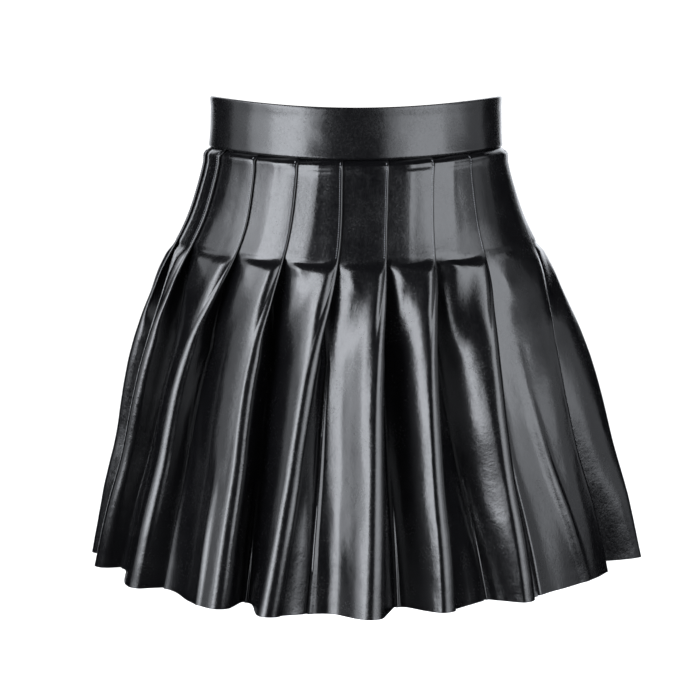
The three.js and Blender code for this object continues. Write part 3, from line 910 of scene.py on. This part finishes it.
def knit_backing():
    """Fine polyester jersey that carries the film: matt, with loops that catch a little light."""
    material, tree, place = new_material("knit_backing")
    # The loops are really 0.6 mm apart; they are drawn at 1.4 mm, as coarse as the picture can show.
    loops = add_node(
        tree,
        "ShaderNodeTexWave",
        {"Scale": 1 / 4.4, "Distortion": 1.5, "Detail": 1.0},
        [("Vector", place, 0)],
    )
    fuzz = add_node(tree, "ShaderNodeTexNoise", {"Scale": 1 / 1.2, "Detail": 2.0}, [("Vector", place, 0)])
    colour = add_node(
        tree,
        "ShaderNodeMix",
        {"data_type": "RGBA", 6: linear("#0d0d0f"), 7: linear("#1d1d20")},
        [(0, fuzz, "Fac")],
    )
    bump = add_node(
        tree, "ShaderNodeBump", {"Strength": 0.5, "Distance": 0.15 * MM}, [("Height", loops, "Fac")]
    )
    shader = add_node(
        tree,
        "ShaderNodeBsdfPrincipled",
        {"Roughness": 0.9, "Sheen Weight": 0.25, "Sheen Roughness": 0.5},
        [("Base Color", colour, 2), ("Normal", bump, 0)],
    )
    add_node(tree, "ShaderNodeOutputMaterial", {}, [("Surface", shader, 0)])
    return material


def polyester_thread():
    """Twisted polyester sewing thread: satin, a little lighter than the film, with painted highlights along
    its twist.
    """
    material, tree, place = new_material("polyester_thread")
    twist_highlight = add_node(
        tree, "ShaderNodeTexWave", {"Scale": 1 / 1.6, "Distortion": 0.5}, [("Vector", place, 0)]
    )
    # The twist's ridges are painted lighter: painted highlights along the thread.
    colour = add_node(
        tree,
        "ShaderNodeMix",
        {"data_type": "RGBA", 6: linear("#1b1c1e"), 7: linear("#5c5e63")},
        [(0, twist_highlight, "Fac")],
    )
    shader = add_node(
        tree,
        "ShaderNodeBsdfPrincipled",
        {"Roughness": 0.45, "Sheen Weight": 0.3},
        [("Base Color", colour, 2)],
    )
    add_node(tree, "ShaderNodeOutputMaterial", {}, [("Surface", shader, 0)])
    return material


def woven_tape():
    """Woven polyester zip tape: matt, with a close rib and painted shade in the rib's grooves."""
    material, tree, place = new_material("woven_tape")
    ribs_and_rib_shade = add_node(
        tree,
        "ShaderNodeTexWave",
        {"bands_direction": "Z", "Scale": 1 / 3.2, "Distortion": 0.3},
        [("Vector", place, 0)],
    )
    # The rib's tops are painted lighter and its grooves darker: painted shade of the rib, on top of its
    # bump.
    colour = add_node(
        tree,
        "ShaderNodeMix",
        {"data_type": "RGBA", 6: linear("#0c0c0e"), 7: linear("#222226")},
        [(0, ribs_and_rib_shade, "Fac")],
    )
    bump = add_node(
        tree, "ShaderNodeBump", {"Strength": 0.6, "Distance": 0.15 * MM}, [("Height", ribs_and_rib_shade, "Fac")]
    )
    shader = add_node(
        tree,
        "ShaderNodeBsdfPrincipled",
        {"Roughness": 0.85, "Sheen Weight": 0.2},
        [("Base Color", colour, 2), ("Normal", bump, 0)],
    )
    add_node(tree, "ShaderNodeOutputMaterial", {}, [("Surface", shader, 0)])
    return material


def moulded_nylon():
    """Nylon zip teeth, moulded: a soft black shine."""
    material, tree, place = new_material("moulded_nylon")
    mottle = add_node(tree, "ShaderNodeTexNoise", {"Scale": 1 / 1.5}, [("Vector", place, 0)])
    roughness = add_node(
        tree, "ShaderNodeMapRange", {"To Min": 0.3, "To Max": 0.5}, [("Value", mottle, "Fac")]
    )
    shader = add_node(
        tree,
        "ShaderNodeBsdfPrincipled",
        {"Base Color": linear("#111113"), "IOR": 1.53},
        [("Roughness", roughness, 0)],
    )
    add_node(tree, "ShaderNodeOutputMaterial", {}, [("Surface", shader, 0)])
    return material


def enamelled_zinc():
    """Die-cast zinc with baked black enamel: glossy, with orange peel and paler, worn spots."""
    material, tree, place = new_material("enamelled_zinc")
    peel = add_node(tree, "ShaderNodeTexNoise", {"Scale": 1 / 1.2, "Detail": 2.0}, [("Vector", place, 0)])
    worn = add_node(
        tree, "ShaderNodeMapRange", {"From Min": 0.62, "From Max": 0.75}, [("Value", peel, "Fac")]
    )
    colour = add_node(
        tree,
        "ShaderNodeMix",
        {"data_type": "RGBA", 6: linear("#1a1a1d"), 7: linear("#6b6d72")},
        [(0, worn, 0)],
    )
    roughness = add_node(
        tree, "ShaderNodeMapRange", {"To Min": 0.22, "To Max": 0.38}, [("Value", peel, "Fac")]
    )
    bump = add_node(
        tree, "ShaderNodeBump", {"Strength": 0.3, "Distance": 0.05 * MM}, [("Height", peel, "Fac")]
    )
    shader = add_node(
        tree,
        "ShaderNodeBsdfPrincipled",
        {"Metallic": 0.6},
        [("Base Color", colour, 2), ("Roughness", roughness, 0), ("Normal", bump, 0)],
    )
    add_node(tree, "ShaderNodeOutputMaterial", {}, [("Surface", shader, 0)])
    return material


def studio_paint():
    """Matt white paint of the studio floor."""
    material, tree, _ = new_material("studio_floor_paint")
    shader = add_node(
        tree, "ShaderNodeBsdfPrincipled", {"Base Color": linear("#ffffff"), "Roughness": 0.9}
    )
    add_node(tree, "ShaderNodeOutputMaterial", {}, [("Surface", shader, 0)])
    return material


def give(obj, *materials):
    """Puts these materials on an object, in place of its own."""
    obj.data.materials.clear()
    for material in materials:
        obj.data.materials.append(material)


cloth = make_cloth()
skirt_leather = coated_knit_leather("coated_knit_leather", "#040405", "#060607", 0.19, 0.26, 0.06)
band_leather = coated_knit_leather("interfaced_leather", "#050506", "#070708", 0.21, 0.28, 0.04)
backing = knit_backing()
thread = polyester_thread()

for name, node, first, count in (
    ("skirt_front_cloth", "skirt_front", 0, FRONT_PLEATS),
    ("skirt_back_cloth", "skirt_back", FRONT_PLEATS, PLEAT_COUNT - FRONT_PLEATS),
):
    panel = make_panel(name, cloth, first, count)
    give(panel, skirt_leather, backing)
    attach(panel, "garment")
    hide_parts(node)

for name, node, start, end in (
    ("waistband_front_cloth", "waistband_front", -SIDE_SEAM, SIDE_SEAM),
    ("waistband_back_cloth", "waistband_back", SIDE_SEAM, 360 - SIDE_SEAM),
):
    band = make_band(name, start, end)
    give(band, band_leather)
    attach(band, "garment")
    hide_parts(node)

for name, node, first, count in (
    ("topstitch_front", "skirt_front", 0, FRONT_PLEATS),
    ("topstitch_back", "skirt_back", FRONT_PLEATS, PLEAT_COUNT - FRONT_PLEATS),
):
    row = make_topstitch(name, cloth, first, count)
    give(row, thread)
    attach(row, "garment")

teeth = make_zip_teeth()
give(teeth, moulded_nylon())
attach(teeth, "garment")

tape = woven_tape()
enamel = enamelled_zinc()
for node, material in (
    ("zip_tape_front", tape),
    ("zip_tape_back", tape),
    ("zip_slider", enamel),
    ("zip_pull", enamel),
):
    give(frame["nodes"][node], material)


# Studio: a pale floor well below the hem, soft boxes at both sides of the front, and weaker ones behind.
FLOOR_HEIGHT = -750
FLOOR_SIZE = 24000


def make_floor():
    """The floor, which lights the skirt from below and isn't mirrored in it."""
    half = FLOOR_SIZE / 2
    corners = [(x * half, y * half, FLOOR_HEIGHT) for x, y in ((-1, -1), (1, -1), (1, 1), (-1, 1))]
    floor = new_object("studio_floor", corners, [(0, 1, 2, 3)])
    give(floor, studio_paint())
    floor.visible_glossy = False


# Columns: name, azimuth, width, bottom and top in metres, and watts for each square metre. Each stands
# upright and faces the skirt. The stitched panels mirror the top of the boxes, the open folds their middle,
# and the band and the hem their foot.
LIGHT_DISTANCE = 1.8
LIGHTS = [
    ("left_inner", -26, 0.315, -0.4, 0.12, 16),
    ("left_key", -43, 0.765, -0.4, 0.6, 38),
    ("left_outer", -64, 0.57, -0.4, 0.6, 16),
    ("left_side", -86, 0.83, -0.4, 0.6, 4),
    ("left_inner_top", -38, 0.315, 0.6, 1.95, 16),
    ("left_key_top", -55, 0.765, 0.6, 1.95, 40),
    ("left_outer_top", -76, 0.57, 0.6, 1.95, 18),
    ("left_side_top", -98, 0.83, 0.6, 1.95, 6),
    ("right_inner", 25, 0.315, -0.4, 1.95, 9.5),
    ("right_key", 45, 0.965, -0.4, 1.95, 19.5),
    ("right_outer", 69, 0.57, -0.4, 0.12, 10.5),
    ("right_outer_middle", 69, 0.57, 0.12, 1.0, 3),
    ("right_outer_top", 69, 0.57, 1.0, 1.95, 11),
    ("right_side", 91, 0.83, -0.4, 0.35, 2.5),
    ("right_side_middle", 91, 0.83, 0.35, 1.0, 1.2),
    ("right_side_top", 91, 0.83, 1.0, 1.95, 4),
    ("back_left", -162, 1.0, -0.6, 1.6, 4.5),
    ("back_right", 160, 1.0, -0.6, 1.6, 6.4),
]


def make_lights():
    """The soft boxes, which the camera doesn't see."""
    for name, azimuth, width, bottom, top, brightness in LIGHTS:
        light = bpy.data.lights.new(name, "AREA")
        light.shape = "RECTANGLE"
        light.size = width
        light.size_y = top - bottom
        light.energy = brightness * width * (top - bottom)
        light.color = linear("#f4f8ff")[:3]
        obj = bpy.data.objects.new(name, light)
        bpy.context.scene.collection.objects.link(obj)
        obj.visible_camera = False
        turn = math.radians(azimuth)
        towards = Vector((math.sin(turn), -math.cos(turn), 0))
        obj.location = towards * LIGHT_DISTANCE + Vector((0, 0, (bottom + top) / 2))
        obj.rotation_euler = towards.to_track_quat("Z", "Y").to_euler()


def make_world():
    """A white surround that lights the floor and isn't mirrored in the leather."""
    world = bpy.data.worlds.new("studio")
    world.use_nodes = True
    tree = world.node_tree
    tree.nodes.clear()
    surround = add_node(tree, "ShaderNodeBackground", {"Color": linear("#ffffff"), "Strength": 1.2})
    add_node(tree, "ShaderNodeOutputWorld", {}, [("Surface", surround, 0)])
    bpy.context.scene.world = world
    world.cycles_visibility.glossy = False


# The photograph's view: a long lens, level with the waistband and turned down on to the skirt.
SENSOR = 36
FOCAL_PIXELS = 2160
FRAME_PIXELS = 700
CAMERA_DISTANCE = 1.75
CAMERA_HEIGHT = -0.007
CAMERA_SIDE = -0.00486
CAMERA_PITCH = 5.815


def make_camera():
    """The scene's camera, at the photograph's view."""
    data = bpy.data.cameras.new("camera")
    data.sensor_width = SENSOR
    data.lens = FOCAL_PIXELS * SENSOR / FRAME_PIXELS
    camera = bpy.data.objects.new("camera", data)
    bpy.context.scene.collection.objects.link(camera)
    camera.location = (CAMERA_SIDE, -CAMERA_DISTANCE, CAMERA_HEIGHT)
    camera.rotation_euler = (math.radians(90 - CAMERA_PITCH), 0, 0)
    bpy.context.scene.camera = camera


make_floor()
make_lights()
make_world()
make_camera()
bpy.context.scene.view_settings.view_transform = "Standard"
